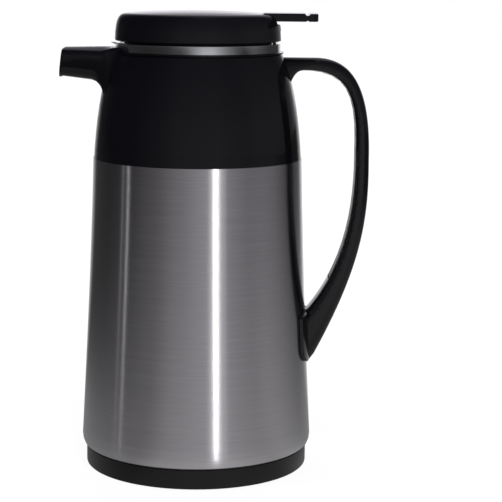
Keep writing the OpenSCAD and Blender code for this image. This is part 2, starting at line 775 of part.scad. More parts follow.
module lid_base() {
  plate_r = lid_r - lid_wall - 0.3;
  cup_in = stopper_r - stopper_wall;
  seal_seat_z = floor_top_z + 1.6;
  color(satin_black) difference() {
    union() {
      turned([
        [stem_r + pin_gap, lid_plate_z - guide_h], [stem_r + 2.8, lid_plate_z - guide_h],
        [stem_r + 2.8, lid_plate_z], [cup_in, lid_plate_z],
        [cup_in, stopper_z + stopper_wall], [valve_d / 2 - 3, stopper_z + stopper_wall],
        [valve_d / 2 - 3, stopper_z], [stopper_r, stopper_z],
        [stopper_r, seal_seat_z], [stopper_r + 2.4, seal_seat_z],
        [stopper_r + 2.4, seal_seat_z + 1.4], [stopper_r, seal_seat_z + 1.4],
        [stopper_r, lid_plate_z], [plug_r - 2.2, lid_plate_z],
        [plug_r - 2.2, lid_plate_z - plug_h], [plug_r, lid_plate_z - plug_h],
        [plug_r, lid_plate_z], [plate_r, lid_plate_z], [plate_r, lid_plate_top],
        [stem_r + pin_gap, lid_plate_top]
      ]);
      for (side = [-1, 1]) mirror([0, side < 0 ? 1 : 0, 0])
        side_plate(slot_w / 2 + 0.1, slot_w / 2 + 0.1 + post_t) lever_post_outline();
    }
    for (a = [45 : 90 : 315]) rotate([0, 0, a])
      translate([cup_in - 3, -7, seal_seat_z + 1.8]) cube([stopper_wall + 6, 14, 9]);
    translate([hinge_x - 3.5, -slot_w / 2, lid_z - 1]) cube([far, slot_w, 5]);
    for (a = lid_screw_angles) rotate([0, 0, a]) translate([lid_screw_r, 0, lid_z - 2])
      cylinder(d = lid_screw_d + 0.3, h = 8);
    cross_pin(lever_pin_x, lever_pin_z, pin_r + 0.02, far);
  }
  color(satin_black) difference() {
    intersection() {
      turned(concat([[0, lid_z]], lid_line));
      union() {
        for (side = [-1, 1]) mirror([0, side < 0 ? 1 : 0, 0]) side_plate(ear_in, ear_out)
          hinge_ear_outline();
        translate([apron_x, -ear_in - 0.5, apron_low])
          cube([far, 2 * ear_in + 1, apron_top - apron_low]);
      }
    }
    cross_pin(hinge_x, hinge_z, pin_r + 0.02, 2 * ear_out - 2);
  }
}

// Side outline of the two posts that carry the lever's pin
module lever_post_outline() {
  translate([lever_pin_x, lever_pin_z]) circle(r = hub_r, $fn = 48);
  translate([lever_pin_x - hub_r, lid_plate_z + 1])
    square([2 * hub_r, lever_pin_z - lid_plate_z - 1]);
}

// Side outline of the lid's two hinge ears, which end at the lid's outside
module hinge_ear_outline() {
  foot_x = hinge_x - 7;
  polygon([
    [foot_x, lid_plate_z], [lid_r + 1, lid_plate_z], [lid_r + 1, apron_top],
    [hinge_x - 1, apron_top], [foot_x, lid_plate_top]
  ]);
}

module lid_screws() {
  color(bright) for (a = lid_screw_angles) rotate([0, 0, a]) translate([lid_screw_r, 0, 0]) {
    head_z = lid_plate_z - 1.7;
    translate([0, 0, head_z + 1]) cylinder(d = lid_screw_d, h = lid_screw_top - head_z - 1);
    translate([0, 0, head_z]) difference() {
      cylinder(r = 2.5, h = 1.65);
      translate([0, 0, -1]) cylinder(r = 1.1, h = 1.9, $fn = 6);
    }
  }
}

module stopper_seal() {
  // the seal lies above the chamber's conical seat by the moving gap
  mid_r = stopper_r + seal_r + 0.08;
  color(rubber) translate([0, 0, seal_mid_z(mid_r)]) rotate_extrude()
    translate([mid_r, 0]) circle(r = seal_r, $fn = 32);
}
// Height of the seal's middle so that its surface clears the 45 degree seat
function seal_mid_z(mid_r) = floor_z + (mid_r - port_r) + (seal_r + move_gap) * sqrt(2);

module hinge_pin() {
  color(bright) cross_pin(hinge_x, hinge_z, pin_r, 2 * ear_out - 2.4);
}

module lever() {
  low = lever_z;
  high = lever_z + lever_t;
  notch_x = lever_reach - 6.4;
  half = lever_w / 2;
  color(black) difference() {
    union() {
      intersection() {
        side_plate(-half, half) difference() {
          polygon([
            [slot_x + 0.25, low + 0.6], [slot_x + 1, low], [lever_reach - 0.6, low],
            [lever_reach, low + 0.6], [lever_reach, high - 0.8], [lever_reach - 0.8, high],
            [slot_x + 1.4, high], [slot_x + 0.25, high - 0.7]
          ]);
          translate([notch_x, high + 0.2]) circle(r = 1.5, $fn = 32);
          translate([notch_x, low - 0.5]) circle(r = 1, $fn = 32);
          for (i = [1 : 3]) translate([notch_x + 0.9 + 1.3 * i, high + 0.15]) circle(r = 0.45, $fn = 24);
        }
        translate([0, 0, low - 1]) linear_extrude(lever_t + 2) lever_plan();
      }
      side_plate(-half, half) polygon([
        [lever_pin_x - 0.5, lever_pin_z + hub_r - 0.3], [slot_x + 0.5, low + 2.2],
        [slot_x + 6, low + 0.5], [lever_pin_x + 2, lever_pin_z - 1.6],
        [lever_pin_x - 0.5, lever_pin_z - 1.6]
      ]);
      cross_pin(lever_pin_x, lever_pin_z, hub_r, lever_w);
      side_plate(-arm_w / 2, arm_w / 2) polygon([
        [arm_end_x, arm_z], [arm_end_x, arm_z + arm_t], [lever_pin_x - 8, arm_z + arm_t],
        [lever_pin_x - 1, lever_pin_z + 1.6], [lever_pin_x + 1.5, lever_pin_z - 2.4],
        [lever_pin_x - 6, arm_z]
      ]);
    }
    translate([arm_end_x - 1, -stem_r - move_gap, arm_z - 1])
      cube([-arm_end_x + 4.2, 2 * (stem_r + move_gap), arm_t + 2]);
    cross_pin(lever_pin_x, lever_pin_z, pin_r + pin_gap, far);
  }
}

// Top outline of the thumb bar, with rounded corners at its tip
module lever_plan() {
  half = lever_w / 2;
  corner = 4;
  translate([slot_x - 2, -half]) square([lever_reach - corner - slot_x + 2, lever_w]);
  translate([slot_x, -half + corner]) square([lever_reach - slot_x, lever_w - 2 * corner]);
  for (side = [-1, 1]) translate([lever_reach - corner, side * (half - corner)]) circle(r = corner);
}

module lever_pin() {
  color(bright) cross_pin(lever_pin_x, lever_pin_z, pin_r, slot_w + 2 * post_t + 0.2);
}

module valve_stem() {
  color(satin_black) {
    translate([0, 0, stem_z]) cylinder(r = valve_d / 2 - 2, h = stem_plate_t);
    translate([0, 0, stem_z]) cylinder(r = stem_r, h = clip_z + clip_t - stem_z);
  }
}

module stem_clip() {
  color(bright) ring_of(stem_r + 0.02, clip_r, clip_z, clip_t);
}

module valve_seal() {
  color(rubber) difference() {
    translate([0, 0, valve_z]) cylinder(d = valve_d, h = valve_seal_t);
    ring_of(valve_d / 2 - 1, valve_d, valve_z + 1.2, 3);
  }
}

// Coil spring between the valve's plate and the lid, as one swept tube
spring_low = stem_z + stem_plate_t + 0.1;
spring_high = lid_plate_z - 0.1;
spring_turns = 6;
spring_steps = 8;
spring_sides = 6;
spring_rise = spring_high - spring_low - spring_wire;
spring_pitch = spring_rise / spring_turns;
echo(least_gap_between_spring_turns = spring_pitch - spring_wire);
function spring_ring(i) =
  let (
    a = 360 * i / spring_steps,
    z = spring_low + spring_wire / 2 + spring_rise * i / (spring_turns * spring_steps)
  )
  [for (k = [0 : spring_sides - 1])
    let (b = 360 * k / spring_sides, r = spring_d / 2 + spring_wire / 2 * cos(b))
    [r * cos(a), r * sin(a), z + spring_wire / 2 * sin(b)]];

module valve_spring() {
  color(bright) loft([for (i = [0 : spring_turns * spring_steps])
    reversed(spring_ring(i))]);
}

outer_shell();
base_ring();
base_cap();
bottom_cushion();
glass_outer();
glass_inner();
glass_spacers();
mouth_gasket();
shoulder();
pour_chamber();
neck_ring();
handle();
handle_cover();
handle_backplate();
handle_screws();
lid_cover();
lid_base();
lid_screws();
stopper_seal();
hinge_pin();
lever();
lever_pin();
valve_stem();
stem_clip();
valve_seal();
valve_spring();
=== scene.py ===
"""Looks of the glass-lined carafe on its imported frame. Metres, z up, spout along -x."""
import contextlib
import json
import math

import bmesh
import bpy
from mathutils import Matrix, Vector
from mathutils.bvhtree import BVHTree

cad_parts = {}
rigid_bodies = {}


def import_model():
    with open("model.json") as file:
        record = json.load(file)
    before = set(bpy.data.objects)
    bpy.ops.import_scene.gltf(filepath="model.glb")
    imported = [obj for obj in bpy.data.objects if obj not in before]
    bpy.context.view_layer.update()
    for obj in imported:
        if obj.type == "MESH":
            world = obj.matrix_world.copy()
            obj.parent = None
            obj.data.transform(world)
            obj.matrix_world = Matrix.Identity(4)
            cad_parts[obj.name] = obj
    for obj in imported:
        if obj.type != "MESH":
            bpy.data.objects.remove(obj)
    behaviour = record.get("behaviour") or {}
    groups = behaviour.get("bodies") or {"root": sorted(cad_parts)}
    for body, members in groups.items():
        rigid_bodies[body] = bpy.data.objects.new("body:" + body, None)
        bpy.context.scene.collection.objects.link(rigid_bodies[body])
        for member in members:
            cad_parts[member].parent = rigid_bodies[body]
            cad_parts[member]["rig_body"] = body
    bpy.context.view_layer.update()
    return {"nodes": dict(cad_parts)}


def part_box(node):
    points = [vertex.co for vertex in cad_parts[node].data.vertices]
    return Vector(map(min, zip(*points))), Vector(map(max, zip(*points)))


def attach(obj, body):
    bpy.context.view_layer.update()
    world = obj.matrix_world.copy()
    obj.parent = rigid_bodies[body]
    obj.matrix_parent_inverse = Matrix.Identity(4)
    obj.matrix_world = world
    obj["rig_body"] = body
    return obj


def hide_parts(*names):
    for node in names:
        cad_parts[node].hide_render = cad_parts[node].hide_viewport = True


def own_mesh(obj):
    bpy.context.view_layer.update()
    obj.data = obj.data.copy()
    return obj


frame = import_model()

# Camera at the photograph's viewing point: place, downward tilt and roll
CAM_AT = (0.03265, -1.0241, 0.3044)
CAM_TILT = math.radians(9.674)
CAM_ROLL = math.radians(0.594)
# Lens and sensor in mm, and the nearest distance that is drawn
CAM_LENS = 122.75
CAM_SENSOR = 36
CAM_NEAREST = 0.05


def add_camera():
    data = bpy.data.cameras.new("camera")
    data.sensor_width = CAM_SENSOR
    data.lens = CAM_LENS
    data.clip_start = CAM_NEAREST
    cam = bpy.data.objects.new("camera", data)
    bpy.context.scene.collection.objects.link(cam)
    cam.matrix_world = (
        Matrix.Translation(CAM_AT)
        @ Matrix.Rotation(math.pi / 2 - CAM_TILT, 4, "X")
        @ Matrix.Rotation(CAM_ROLL, 4, "Z")
    )
    bpy.context.scene.camera = cam


class Nodes:
    """Short form for building a material's or the world's nodes."""

    def __init__(self, owner):
        owner.use_nodes = True
        self.tree = owner.node_tree
        self.tree.nodes.clear()

    def add(self, kind, inputs=None, **settings):
        node = self.tree.nodes.new(kind)
        for key, value in settings.items():
            setattr(node, key, value)
        for key, value in (inputs or {}).items():
            if isinstance(value, bpy.types.NodeSocket):
                self.tree.links.new(value, node.inputs[key])
            else:
                node.inputs[key].default_value = value
        return node

    def math(self, operation, a, b=0.0, c=0.0):
        return self.add("ShaderNodeMath", {0: a, 1: b, 2: c}, operation=operation).outputs[0]

    def scaled(self, value, factor, offset):
        """The value times the factor, plus the offset."""
        return self.math("MULTIPLY_ADD", value, factor, offset)

    def span(self, value, low, high, to_low=0.0, to_high=1.0):
        """Carry the stretch from low to high onto the one from to_low to to_high."""
        ends = {"Value": value, 1: low, 2: high, 3: to_low, 4: to_high}
        return self.add("ShaderNodeMapRange", ends).outputs[0]

    def ramp(self, value, stops):
        """Colours or grey levels joined by straight stretches."""
        node = self.add("ShaderNodeValToRGB", {"Fac": value})
        elements = node.color_ramp.elements
        while len(elements) < len(stops):
            elements.new(0.5)
        for element, (place, level) in zip(elements, sorted(stops)):
            element.position = place
            element.color = level if isinstance(level, tuple) else (level, level, level, 1)
        return node.outputs["Color"]

    def mix(self, factor, first, second, blend="MIX"):
        """Two colours mixed; 6 and 7 are the node's colour inputs, and output 2 is the colour."""
        inputs = {0: factor, 6: first, 7: second}
        return self.add("ShaderNodeMix", inputs, data_type="RGBA", blend_type=blend).outputs[2]

    def mix_shader(self, factor, first, second):
        return self.add("ShaderNodeMixShader", {0: factor, 1: first, 2: second}).outputs[0]

    def glow(self, kind, color, strength):
        """An emission or background shader."""
        return self.add(kind, {"Color": color, "Strength": strength}).outputs[0]

    def noise(self, vector, scale, detail=2.0, rough=0.5):
        inputs = {"Vector": vector, "Scale": scale, "Detail": detail, "Roughness": rough}
        return self.add("ShaderNodeTexNoise", inputs).outputs["Fac"]

    def mapped(self, vector, scale):
        return self.add("ShaderNodeMapping", {"Vector": vector, "Scale": scale}).outputs["Vector"]

    def place(self):
        return self.add("ShaderNodeTexCoord").outputs["Object"]

    def around(self, vector):
        """Turns round z from the camera's side (-y) towards +x, from -0.5 to 0.5, and the height."""
        split = self.add("ShaderNodeSeparateXYZ", {"Vector": vector})
        turn = self.math("ARCTAN2", split.outputs["X"], self.math("MULTIPLY", split.outputs["Y"], -1))
        return self.math("DIVIDE", turn, 2 * math.pi), split.outputs["Z"]

    def bump(self, height, distance, strength):
        inputs = {"Height": height, "Distance": distance, "Strength": strength}
        return self.add("ShaderNodeBump", inputs).outputs["Normal"]

    def principled(self, inputs):
        shader = self.add("ShaderNodeBsdfPrincipled", inputs)
        self.add("ShaderNodeOutputMaterial", {"Surface": shader.outputs["BSDF"]})


WHITE = (1, 1, 1, 1)
GLOSS_BLACK = (0.0034, 0.0032, 0.0048, 1)
SATIN_BLACK = (0.003, 0.003, 0.0038, 1)
SHELL_STEEL = (0.57, 0.552, 0.58, 1)
PLAIN_STEEL = (0.6, 0.6, 0.61, 1)
CHROME = (0.74, 0.75, 0.78, 1)
SHELL_ROUND = 0.42  # about the length of one turn round the shell
ACROSS_BRUSH = 0.25  # a quarter turn, so that the gloss spreads across the brush lines


def new_material(name):
    """A material, its nodes and the place on the piece that its patterns follow."""
    mat = bpy.data.materials.new(name)
    n = Nodes(mat)
    return mat, n, n.place()


def gloss_black(name, rough):
    """Glossy moulded plastic: faint waviness, fine dust-like change of roughness."""
    mat, n, place = new_material(name)
    wave = n.noise(place, scale=34, detail=1.0)
    haze = n.noise(n.mapped(place, (1, 1, 1.6)), scale=120, detail=4.0, rough=0.6)
    n.principled({
        "Base Color": GLOSS_BLACK,
        "Roughness": n.scaled(haze, factor=0.07, offset=rough - 0.03),
        "IOR": 1.43,
        "Normal": n.bump(wave, distance=0.00012, strength=0.35),
    })
    return mat


def satin_black(name, rough):
    """Moulded plastic with a fine spark-eroded grain."""
    mat, n, place = new_material(name)
    grain = n.noise(place, scale=2600, detail=3.0, rough=0.6)
    patches = n.noise(place, scale=60, detail=3.0)
    n.principled({
        "Base Color": SATIN_BLACK,
        "Roughness": n.scaled(patches, factor=0.12, offset=rough - 0.06),
        "IOR": 1.41,
        "Normal": n.bump(grain, distance=0.00003, strength=0.5),
    })
    return mat


def brushed_steel(name, color, rough, aniso, grain):
    """Steel brushed round z: long fine lines in tone and gloss, and very faint ones in height."""
    mat, n, place = new_material(name)
    turn, height = n.around(place)
    along = n.math("MULTIPLY", turn, SHELL_ROUND)
    lines_at = n.add("ShaderNodeCombineXYZ", {"X": along, "Z": height}).outputs[0]
    fine = n.noise(n.mapped(lines_at, (60, 1, 3600)), scale=1.0, detail=3.0, rough=0.6)
    broad = n.noise(n.mapped(lines_at, (16, 1, 1000)), scale=1.0, detail=2.0, rough=0.5)
    cloud = n.noise(place, scale=16, detail=2.0)
    mixed = n.scaled(broad, 0.5, n.math("MULTIPLY", fine, 0.5))
    tone = n.scaled(mixed, 0.4 * grain, n.scaled(cloud, 0.03, -0.21 * grain))
    toned = n.add("ShaderNodeHueSaturation", {"Color": color, "Value": n.math("ADD", tone, 1.0)})
    n.principled({
        "Base Color": toned.outputs["Color"],
        "Metallic": 1.0,
        "Roughness": n.scaled(mixed, factor=0.06, offset=rough - 0.03),
        "Anisotropic": aniso,
        "Anisotropic Rotation": ACROSS_BRUSH,
        "Tangent": n.add("ShaderNodeTangent", direction_type="RADIAL", axis="Z").outputs[0],
        "Normal": n.bump(fine, distance=0.000004, strength=0.1),
    })
    return mat


def chrome(name, rough):
    """Plated ring with faint handling marks."""
    mat, n, place = new_material(name)
    marks = n.noise(n.mapped(place, (1, 1, 3)), scale=300, detail=4.0, rough=0.65)
    n.principled({
        "Base Color": CHROME,
        "Metallic": 1.0,
        "Roughness": n.scaled(marks, factor=0.06, offset=rough - 0.03),
        "Normal": n.bump(n.noise(place, scale=90), distance=0.00002, strength=0.2),
    })
    return mat


def silicone(name):
    """Pale soft rubber, matt, with a slightly uneven tone."""
    mat, n, place = new_material(name)
    tone = n.noise(place, scale=220, detail=3.0)
    n.principled({
        "Base Color": n.ramp(tone, [(0.3, (0.56, 0.56, 0.53, 1)), (0.7, (0.64, 0.64, 0.61, 1))]),
        "Roughness": n.scaled(tone, factor=0.15, offset=0.5),
        "Subsurface Weight": 0.1,
        "Subsurface Scale": 0.002,
        "Normal": n.bump(n.noise(place, scale=1500), distance=0.00002, strength=0.4),
    })
    return mat


def silvered_glass(name):
    """Glass whose hidden side is silvered, so it looks like a bright mirror with a cool tint."""
    mat, n, place = new_material(name)
    flow = n.noise(n.mapped(place, (1, 1, 0.4)), scale=40)
    n.principled({
        "Base Color": n.ramp(flow, [(0.35, (0.8, 0.83, 0.85, 1)), (0.65, (0.86, 0.88, 0.9, 1))]),
        "Metallic": 0.92,
        "Roughness": n.scaled(flow, factor=0.04, offset=0.03),
        "Coat Weight": 0.6,
        "Coat Roughness": 0.02,
        "Normal": n.bump(flow, distance=0.0002, strength=0.25),
    })
    return mat


# What glossy rays see all round: angle from the camera's side in turns, and level.
# The first list is the room above the table, the second the far part of the table.
ROOM = [
    (-0.5, 1.05), (-0.465, 1.0), (-0.445, 0.35), (-0.40, 0.04), (-0.30, 0.02), (-0.2, 0.045),
    (-0.155, 0.09), (-0.11, 0.14), (-0.06, 0.24), (0.0, 0.28), (0.06, 0.31), (0.11, 0.25),
    (0.155, 0.22), (0.2, 0.25), (0.26, 0.2), (0.31, 0.13), (0.345, 0.08), (0.385, 0.12),
    (0.425, 0.35), (0.45, 1.3), (0.475, 1.25), (0.5, 1.05),
]
TABLE = [
    (-0.5, 1.0), (-0.44, 0.5), (-0.40, 0.05), (-0.30, 0.03), (-0.2, 0.02), (-0.12, 0.03),
    (-0.06, 0.06), (-0.035, 0.12), (0.0, 0.36), (0.025, 0.52), (0.058, 0.52), (0.09, 0.32),
    (0.123, 0.18), (0.158, 0.08), (0.19, 0.03), (0.234, 0.09), (0.28, 0.06), (0.33, 0.035),
    (0.41, 0.04), (0.44, 0.6), (0.5, 1.0),
]
PEAK = 1.35  # brightest level that gloss can see
ROOM_TINT = (0.965, 0.935, 1.0, 1)

# How the room's level falls with the height of the direction, 0 level and 1 straight up
FADE = [(0.0, 1.0), (0.1, 1.0), (0.25, 0.72), (0.45, 0.55), (0.75, 0.42), (1.0, 0.4)]
# The same behind the object, where the pale backdrop ends lower
FADE_BACK = [(0.0, 1.0), (0.07, 1.0), (0.17, 0.35), (0.3, 0.2), (1.0, 0.2)]
# Turns from the camera's side between which the one gives way to the other
BACK_FROM = 0.33
BACK_TO = 0.42

# Even light that reaches every surface from all round
AMBIENT_COLOR = (0.96, 0.97, 1.0, 1)
AMBIENT = 0.42


def level_round(n, turn, levels):
    """Level at an angle in turns, as a share of the brightest."""
    stops = [(place + 0.5, level / PEAK) for place, level in levels]
    return n.ramp(n.math("ADD", turn, 0.5), stops)


def seen_plainly(n, rays):
    """1 for what the camera sees straight or through glass, otherwise 0."""
    return n.math("MAXIMUM", rays["Is Camera Ray"], rays["Is Transmission Ray"])


def add_world():
    """White for the camera, the room's levels for gloss, and an even light for the rest."""
    world = bpy.data.worlds.new("studio")
    bpy.context.scene.world = world
    n = Nodes(world)
    rays = n.add("ShaderNodeLightPath").outputs
    turn, height = n.around(n.add("ShaderNodeTexCoord").outputs["Generated"])
    back = n.span(n.math("ABSOLUTE", turn), BACK_FROM, BACK_TO)
    fall = n.mix(back, n.ramp(height, FADE), n.ramp(height, FADE_BACK))
    room = n.mix(1.0, level_round(n, turn, ROOM), fall, "MULTIPLY")
    room = n.mix(1.0, room, ROOM_TINT, "MULTIPLY")
    ambient = n.glow("ShaderNodeBackground", AMBIENT_COLOR, AMBIENT)
    mirrored = n.glow("ShaderNodeBackground", room, PEAK)
    white = n.glow("ShaderNodeBackground", WHITE, 1.0)
    unseen = n.mix_shader(rays["Is Glossy Ray"], ambient, mirrored)
    whole = n.mix_shader(seen_plainly(n, rays), unseen, white)
    n.add("ShaderNodeOutputWorld", {"Surface": whole})


FLOOR_HALF = 6
FLOOR_DROP = 0.0002  # keeps the floor's plane just under the object's flat base
FLOOR_COLOR = (0.62, 0.62, 0.63, 1)
# What gloss sees of the table, by the distance from the object's axis: never below the least
# level right beside it, then the room's levels times the gain, and further out the table's own
CLOSE_LEAST = 0.28
CLOSE_FROM = 0.2
CLOSE_TO = 0.42
NEAR_GAIN = 1.8
FAR_FROM = 0.5
FAR_TO = 1.1
# What the camera sees of it: white, with a share of shaded table that ends further out
PLAIN_FROM = 0.16
PLAIN_TO = 0.5
PLAIN_LEAST = 0.88
TABLE_WHITE = 1.06


def add_floor():
    """White table; glossy surfaces see it brighter near the object than far off."""
    mesh = bpy.data.meshes.new("floor")
    corners = [(x * FLOOR_HALF, y * FLOOR_HALF, 0) for x, y in ((-1, -1), (1, -1), (1, 1), (-1, 1))]
    mesh.from_pydata(corners, [], [(0, 1, 2, 3)])
    floor = bpy.data.objects.new("floor", mesh)
    floor.location.z = -FLOOR_DROP
    bpy.context.scene.collection.objects.link(floor)
    mat = bpy.data.materials.new("floor")
    mesh.materials.append(mat)
    n = Nodes(mat)
    rays = n.add("ShaderNodeLightPath").outputs
    place = n.add("ShaderNodeNewGeometry").outputs["Position"]
    reach = n.add("ShaderNodeVectorMath", {0: place}, operation="LENGTH").outputs["Value"]
    turn = n.around(place)[0]
    near = [(angle, min(PEAK, level * NEAR_GAIN)) for angle, level in ROOM]
    close = [(angle, max(CLOSE_LEAST, level)) for angle, level in near]
    off = n.span(reach, CLOSE_FROM, CLOSE_TO)
    far = n.span(reach, FAR_FROM, FAR_TO)
    beside = n.mix(off, level_round(n, turn, close), level_round(n, turn, near))
    level = n.mix(far, beside, level_round(n, turn, TABLE))
    shaded = n.add("ShaderNodeBsdfDiffuse", {"Color": FLOOR_COLOR}).outputs[0]
    white = n.glow("ShaderNodeEmission", WHITE, TABLE_WHITE)
    mirrored = n.glow("ShaderNodeEmission", level, PEAK)
    plain = n.span(reach, PLAIN_FROM, PLAIN_TO, PLAIN_LEAST, 1.0)
    unseen = n.mix_shader(rays["Is Glossy Ray"], shaded, mirrored)
    whole = n.mix_shader(seen_plainly(n, rays), unseen, n.mix_shader(plain, shaded, white))
    n.add("ShaderNodeOutputMaterial", {"Surface": whole})


def add_light(name, at, target, size, power, only=None):
    """Area lamp; one meant for a single piece shows in its gloss, the others only light."""
    data = bpy.data.lights.new(name, "AREA")
    data.shape = "RECTANGLE"
    data.size, data.size_y = size
    data.energy = power
    light = bpy.data.objects.new(name, data)
    light.location = at
    direction = Vector(target) - Vector(at)
    light.rotation_euler = direction.to_track_quat("-Z", "Y").to_euler()
    light.visible_camera = False
    light.visible_glossy = bool(only)
    bpy.context.scene.collection.objects.link(light)
    if only:
        light.light_linking.receiver_collection = only


def round_at(azimuth, distance, height):
    """Point at an angle in degrees from the camera's side towards +x."""
    a = math.radians(azimuth)
    return (distance * math.sin(a), -distance * math.cos(a), height)


def add_lights():
    """Three soft lamps, each with its place, its target, its two sides and its power in watts."""
    middle = (0, 0, 0.14)
    add_light("key", round_at(13.6, 1.05, 1.6), middle, (0.3, 0.6), 15)
    add_light("fill_left", round_at(-60, 1.0, 1.9), middle, (0.5, 0.5), 6)
    add_light("top", (0.1, 0.5, 1.7), (0, 0, 0.2), (0.9, 0.5), 10)


# Strip lamps: name, angle, distance and height of the place, width, and power in watts
STRIPS = [
    ("strip_front", 20.9, 1.7, 0.14, 0.12, 1.9),
    ("strip_soft", 21.5, 1.7, 0.14, 0.28, 0.35),
    ("strip_wide", 22.5, 1.7, 0.14, 0.55, 0.5),
    ("strip_left", -75, 0.6, 0.12, 0.018, 0.022),
    ("strip_back", -82.5, 0.6, 0.12, 0.014, 0.007),
]
STRIP_LENGTH = 0.3
STRIP_TARGET = (0, 0, 0.1)


def add_strips(shell):
    """Thin strip lamps whose long reflections run down the brushed shell."""
    group = bpy.data.collections.new("shell_only")
    group.objects.link(shell)
    for name, azimuth, distance, height, width, power in STRIPS:
        at = round_at(azimuth, distance, height)
        add_light(name, at, STRIP_TARGET, (width, STRIP_LENGTH), power, only=group)


WELD = 2e-6  # corners closer than this are one


@contextlib.contextmanager
def edited(mesh):
    """The mesh opened for changes, with its doubled corners merged, and written back at the end."""
    work = bmesh.new()
    work.from_mesh(mesh)
    bmesh.ops.remove_doubles(work, verts=work.verts, dist=WELD)
    yield work
    work.to_mesh(mesh)
    work.free()


def smooth(mesh, angle):
    """Smooth faces, with sharp edges where faces meet at more than the angle."""
    with edited(mesh) as work:
        for face in work.faces:
            face.smooth = True
        for edge in work.edges:
            faces = edge.link_faces
            edge.smooth = len(faces) == 2 and faces[0].normal.angle(faces[1].normal, 0) < angle


def even_normals(piece):
    """Corner normals weighted by face area, so flat faces stay flat beside rounded edges."""
    weighted = piece.modifiers.new("normals", "WEIGHTED_NORMAL")
    weighted.keep_sharp = True
    graph = bpy.context.evaluated_depsgraph_get()
    mesh = bpy.data.meshes.new_from_object(piece.evaluated_get(graph))
    piece.modifiers.clear()
    piece.data = mesh


# Radius of the neck ring's outer top edge on the solid, and the crisper one that shows
RING_WIDE = 0.0012
RING_TIGHT = 0.0003
# How far off the rounding and outside the ring a corner may lie and still belong to them
ROUNDING_SLACK = 1e-6
RING_SLACK = 1e-5


def crisp_edge(mesh):
    """Give the neck ring's outer top edge the tight rounding instead of the wide one."""
    _, outer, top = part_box("neck_ring")[1]
    wide_r = outer - RING_WIDE
    wide_z = top - RING_WIDE
    for vertex in mesh.vertices:
        x, y, z = vertex.co
        radius = math.hypot(x, y)
        rounded = radius >= wide_r - ROUNDING_SLACK and z >= wide_z - ROUNDING_SLACK
        if rounded and radius <= outer + RING_SLACK:
            angle = math.atan2(z - wide_z, radius - wide_r)
            fresh = outer - RING_TIGHT + RING_TIGHT * math.cos(angle)
            fresh_z = top - RING_TIGHT + RING_TIGHT * math.sin(angle)
            vertex.co = (x * fresh / radius, y * fresh / radius, fresh_z)


MM = 0.001
# Sizes of the handle in mm: the neck that it starts from, its arm, its grip and its foot
NECK_R = 50
ARM_T = 7.6
ARM_TOP = 247.1
ARM_LOW = ARM_TOP - ARM_T
ARM_X = NECK_R + 20
GRIP_T = 8.7
GRIP_W = 20
GRIP_X = 102.9
GRIP_IN = GRIP_X - GRIP_T
BEND_Z = 186.35
FOOT_LOW = 63
FOOT_TOP = 94.3
# Radius of the shell at the foot's two heights
FOOT_LOW_R = 67.39
FOOT_TOP_R = 65.9

# Control points of the outer and inner edges in the xz plane: arm, bend, grip and foot
OUTER_EDGES = [
    [(NECK_R - 6, ARM_TOP), (NECK_R + 2, ARM_TOP), (NECK_R + 12, ARM_TOP), (ARM_X, ARM_TOP)],
    [(ARM_X, ARM_TOP), (ARM_X + 25, ARM_TOP), (GRIP_X + 0.3, ARM_TOP - 22), (GRIP_X, BEND_Z)],
    [(GRIP_X, BEND_Z), (GRIP_X + 0.6, BEND_Z - 36), (GRIP_X - 2.9, FOOT_LOW + 59),
     (FOOT_LOW_R + 4.4, FOOT_LOW + 4.4)],
    [(FOOT_LOW_R + 4.4, FOOT_LOW + 4.4), (FOOT_LOW_R + 2, FOOT_LOW + 1.2),
     (FOOT_LOW_R - 2, FOOT_LOW - 4), (FOOT_LOW_R - 7, FOOT_LOW - 9)],
]
INNER_EDGES = [
    [(NECK_R + 3, ARM_TOP - 22), (NECK_R + 5.8, ARM_TOP - 13.1), (NECK_R + 7.5, ARM_LOW - 0.2),
     (ARM_X - 8, ARM_LOW)],
    [(ARM_X - 8, ARM_LOW), (ARM_X + 18, ARM_LOW + 0.8), (GRIP_IN + 0.8, ARM_TOP - 21),
     (GRIP_IN, BEND_Z + 6)],
    [(GRIP_IN, BEND_Z + 6), (GRIP_IN + 0.6, BEND_Z - 26), (GRIP_IN - 3.2, FOOT_TOP + 30),
     (FOOT_TOP_R + 0.3, FOOT_TOP)],
    [(FOOT_TOP_R + 0.3, FOOT_TOP), (FOOT_TOP_R - 2, FOOT_TOP - 2.6),
     (FOOT_TOP_R - 5, FOOT_TOP - 6), (FOOT_TOP_R - 9, FOOT_TOP - 10)],
]
# The arm is slimmer than the grip, and from half way down the grip the handle widens
ARM_SLIMMER = 2
FOOT_WIDER = 1.5
WIDENS_FROM = 2.5

# Steps of the smooth form along each stretch, and points round each ring
HANDLE_STEPS = (16, 36, 52, 8)
RING_POINTS = 96
# Powers that square the section's circle: on the finger side, and on the outer side in depth
# and in width, as the solid has it and rounder
FINGER_SIDE = 0.42
SOLID_OUTSIDE = (0.62, 0.42)
ROUND_OUTSIDE = (0.85, 0.68)
SKIN_SLACK = 0.00035  # corners this close to the solid's form belong to it
HANDLE_SPLITS = (0.006, 0.004, 0.003, 0.0025)  # lengths over which edges are halved, in turn


def curve_at(points, t):
    """Point on a cubic curve."""
    shares = ((1 - t) ** 3, 3 * t * (1 - t) ** 2, 3 * t * t * (1 - t), t ** 3)
    return Vector([sum(share * p[axis] for share, p in zip(shares, points)) for axis in (0, 1)])


def squared(value, power):
    """A sine or cosine moved outwards, which squares a circle."""
    return math.copysign(abs(value) ** power, value)


